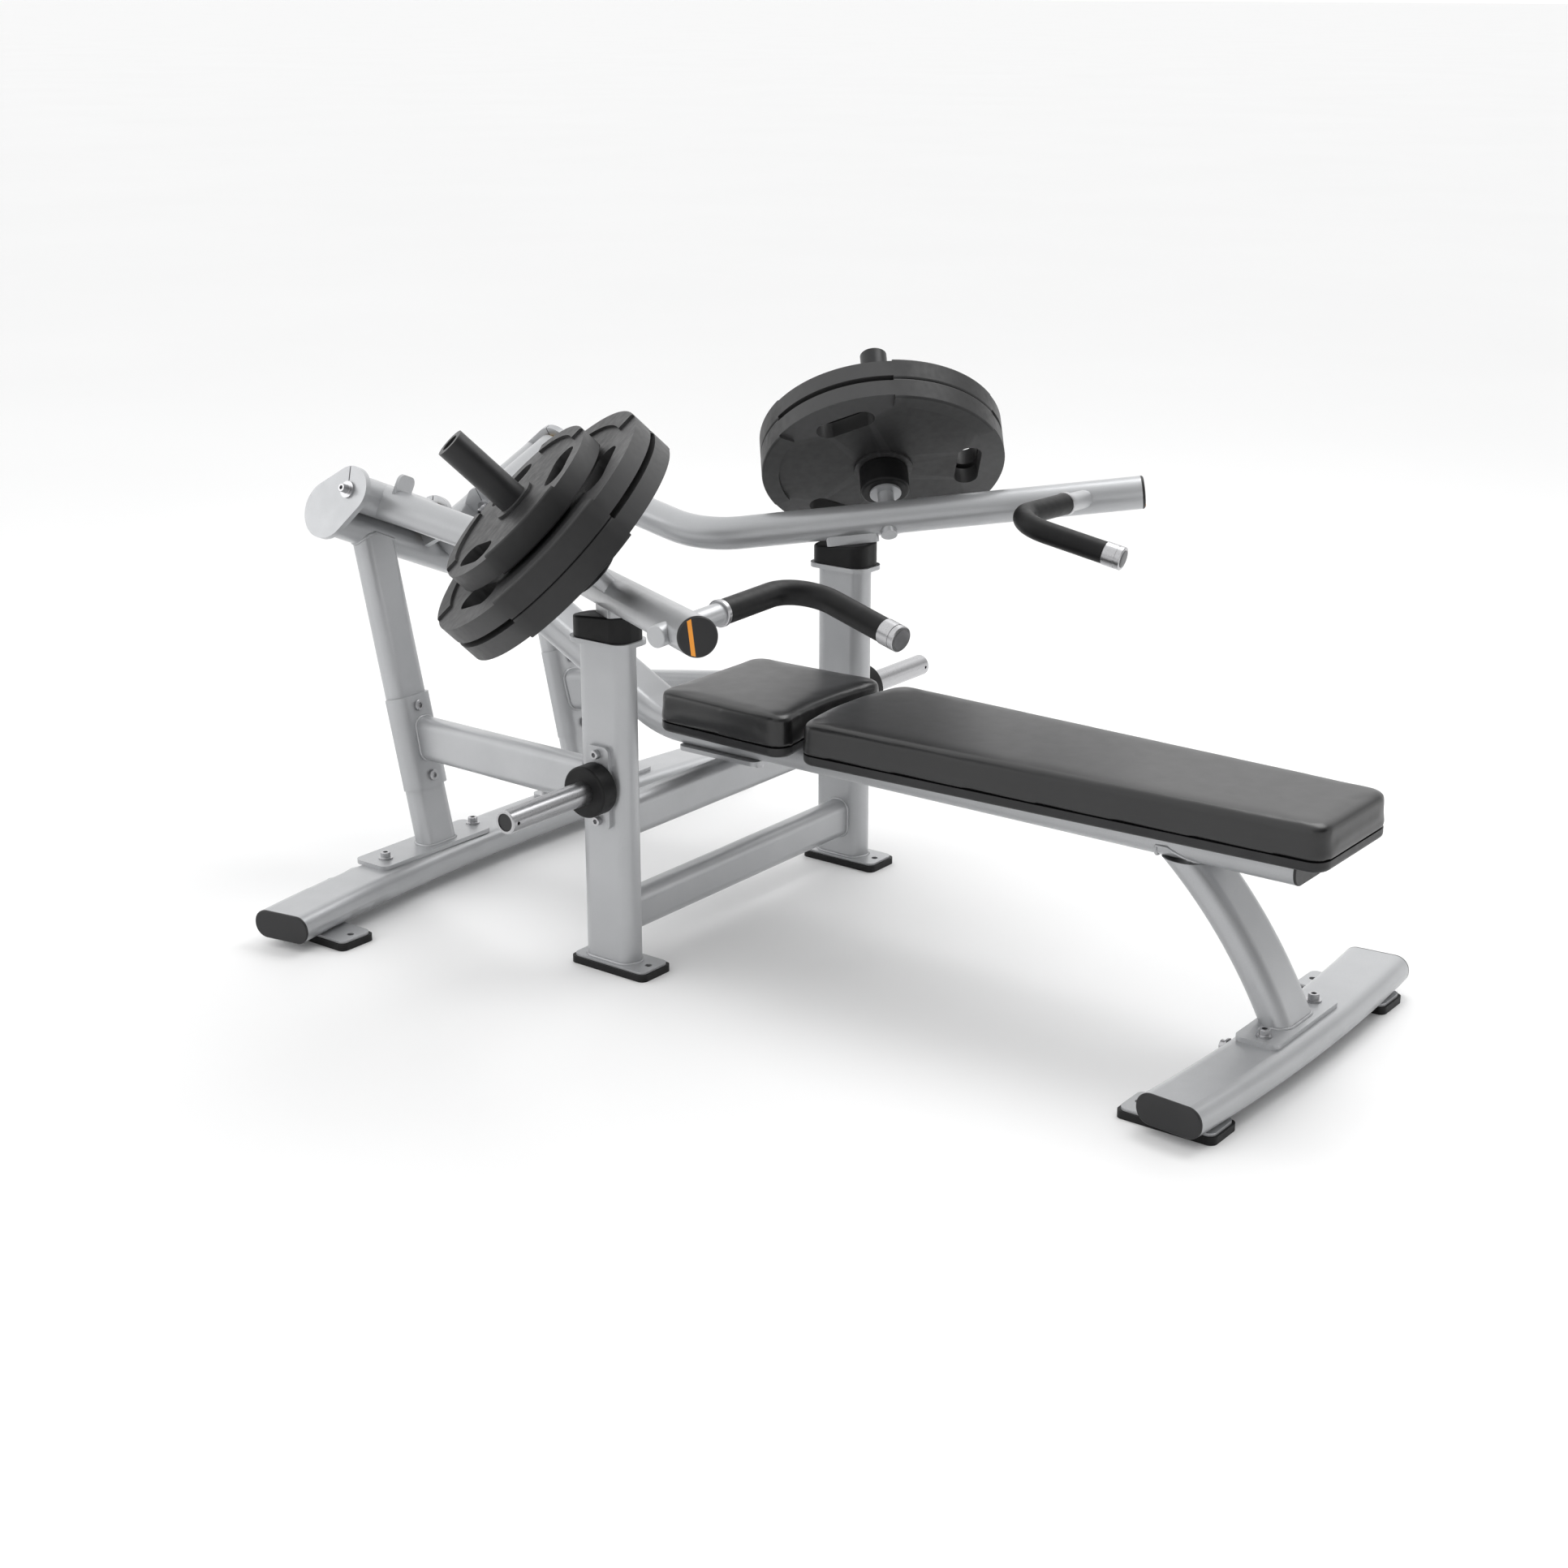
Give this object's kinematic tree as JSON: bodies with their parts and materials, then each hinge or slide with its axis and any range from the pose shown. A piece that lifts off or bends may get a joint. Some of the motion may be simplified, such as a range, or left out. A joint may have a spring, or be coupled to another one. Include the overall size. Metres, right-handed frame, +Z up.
{
  "type": "converging lying bench press machine",
  "caption": "Plate-loaded lying bench press machine with two converging press arms, weight horns and storage horns.",
  "frame": {"origin": "on the floor under the middle of the machine", "axes": "+X to the foot end of the bench, +Y to the user's left, +Z up"},
  "size_m": [1.931, 1.3288, 0.9549],
  "materials": {
    "powder": "satin powder coat",
    "rubber": "matt black rubber",
    "plastic": "fine grained black plastic",
    "vinyl": "black upholstery vinyl, soft sheen",
    "chrome": "polished",
    "steel": "turned bright steel",
    "bronze": "sintered bronze",
    "iron": "dark charcoal coat",
    "black_bolt": "black oxide"
  },
  "bodies": {
    "frame": {"rear_cross_foot": "powder", "front_cross_foot": "powder", "foot_end_caps": "plastic", "floor_rubbers": "rubber", "pivot_beam": "powder", "pivot_end_plates": "powder", "pivot_inner_plates": "powder", "pivot_shafts": "steel", "pivot_bolts": "chrome", "rear_upright_right": "powder", "rear_upright_left": "powder", "foot_bolts": "chrome", "front_upright_right": "powder", "front_upright_left": "powder", "arm_bumpers": "rubber", "bumper_screws": "black_bolt", "side_tube_right": "powder", "side_tube_left": "powder", "saddle_bolts": "chrome", "lower_cross_tube": "powder", "upper_cross_tube": "powder", "rail_bolts": "chrome", "storage_plates": "powder", "storage_bolts": "chrome", "storage_horns": "chrome", "storage_collars": "rubber", "storage_plugs": "plastic", "bench_rail": "powder", "rail_end_cap": "plastic", "bench_leg": "powder", "head_pad": "vinyl", "bench_pad": "vinyl", "head_pad_board": "plastic", "bench_pad_board": "plastic", "pad_brackets": "powder", "pad_screws": "black_bolt"},
    "right_arm": {"arm_right": "powder", "hub_bushes_right": "bronze", "arm_cap_right": "plastic", "handle_right": "powder", "grip_right": "rubber", "grip_ferrules_right": "chrome", "weight_horn_right": "powder", "horn_collar_right": "rubber", "horn_sleeve_right": "plastic"},
    "inner_weight_right": {"inner_weight_right": "iron"},
    "middle_weight_right": {"middle_weight_right": "iron"},
    "outer_weight_right": {"outer_weight_right": "iron"},
    "left_arm": {"arm_left": "powder", "hub_bushes_left": "bronze", "arm_cap_left": "plastic", "handle_left": "powder", "grip_left": "rubber", "grip_ferrules_left": "chrome", "weight_horn_left": "powder", "horn_collar_left": "rubber", "horn_sleeve_left": "plastic"},
    "inner_weight_left": {"inner_weight_left": "iron"},
    "middle_weight_left": {"middle_weight_left": "iron"},
    "outer_weight_left": {"outer_weight_left": "iron"}
  },
  "joints": [
    {"name": "right_arm_pivot", "type": "hinge", "parent": "frame", "child": "right_arm", "pos_m": [-0.8695, -0.209, 0.702], "axis": [0, -0.9191, 0.3939], "range_deg": [0, 25]},
    {"name": "inner_weight_right_slide", "type": "slide", "parent": "right_arm", "child": "inner_weight_right", "axis": [-0.4744, -0.5326, 0.7009], "range_m": [0, 0.04]},
    {"name": "middle_weight_right_slide", "type": "slide", "parent": "inner_weight_right", "child": "middle_weight_right", "axis": [-0.4744, -0.5326, 0.7009], "range_m": [0, 0.045]},
    {"name": "outer_weight_right_slide", "type": "slide", "parent": "middle_weight_right", "child": "outer_weight_right", "axis": [-0.4744, -0.5326, 0.7009], "range_m": [0, 0.045]},
    {"name": "left_arm_pivot", "type": "hinge", "parent": "frame", "child": "left_arm", "pos_m": [-0.8695, 0.209, 0.702], "axis": [0, -0.9191, -0.3939], "range_deg": [0, 25]},
    {"name": "inner_weight_left_slide", "type": "slide", "parent": "left_arm", "child": "inner_weight_left", "axis": [-0.4744, 0.5326, 0.7009], "range_m": [0, 0.04]},
    {"name": "middle_weight_left_slide", "type": "slide", "parent": "inner_weight_left", "child": "middle_weight_left", "axis": [-0.4744, 0.5326, 0.7009], "range_m": [0, 0.045]},
    {"name": "outer_weight_left_slide", "type": "slide", "parent": "middle_weight_left", "child": "outer_weight_left", "axis": [-0.4744, 0.5326, 0.7009], "range_m": [0, 0.045]}
  ]
}
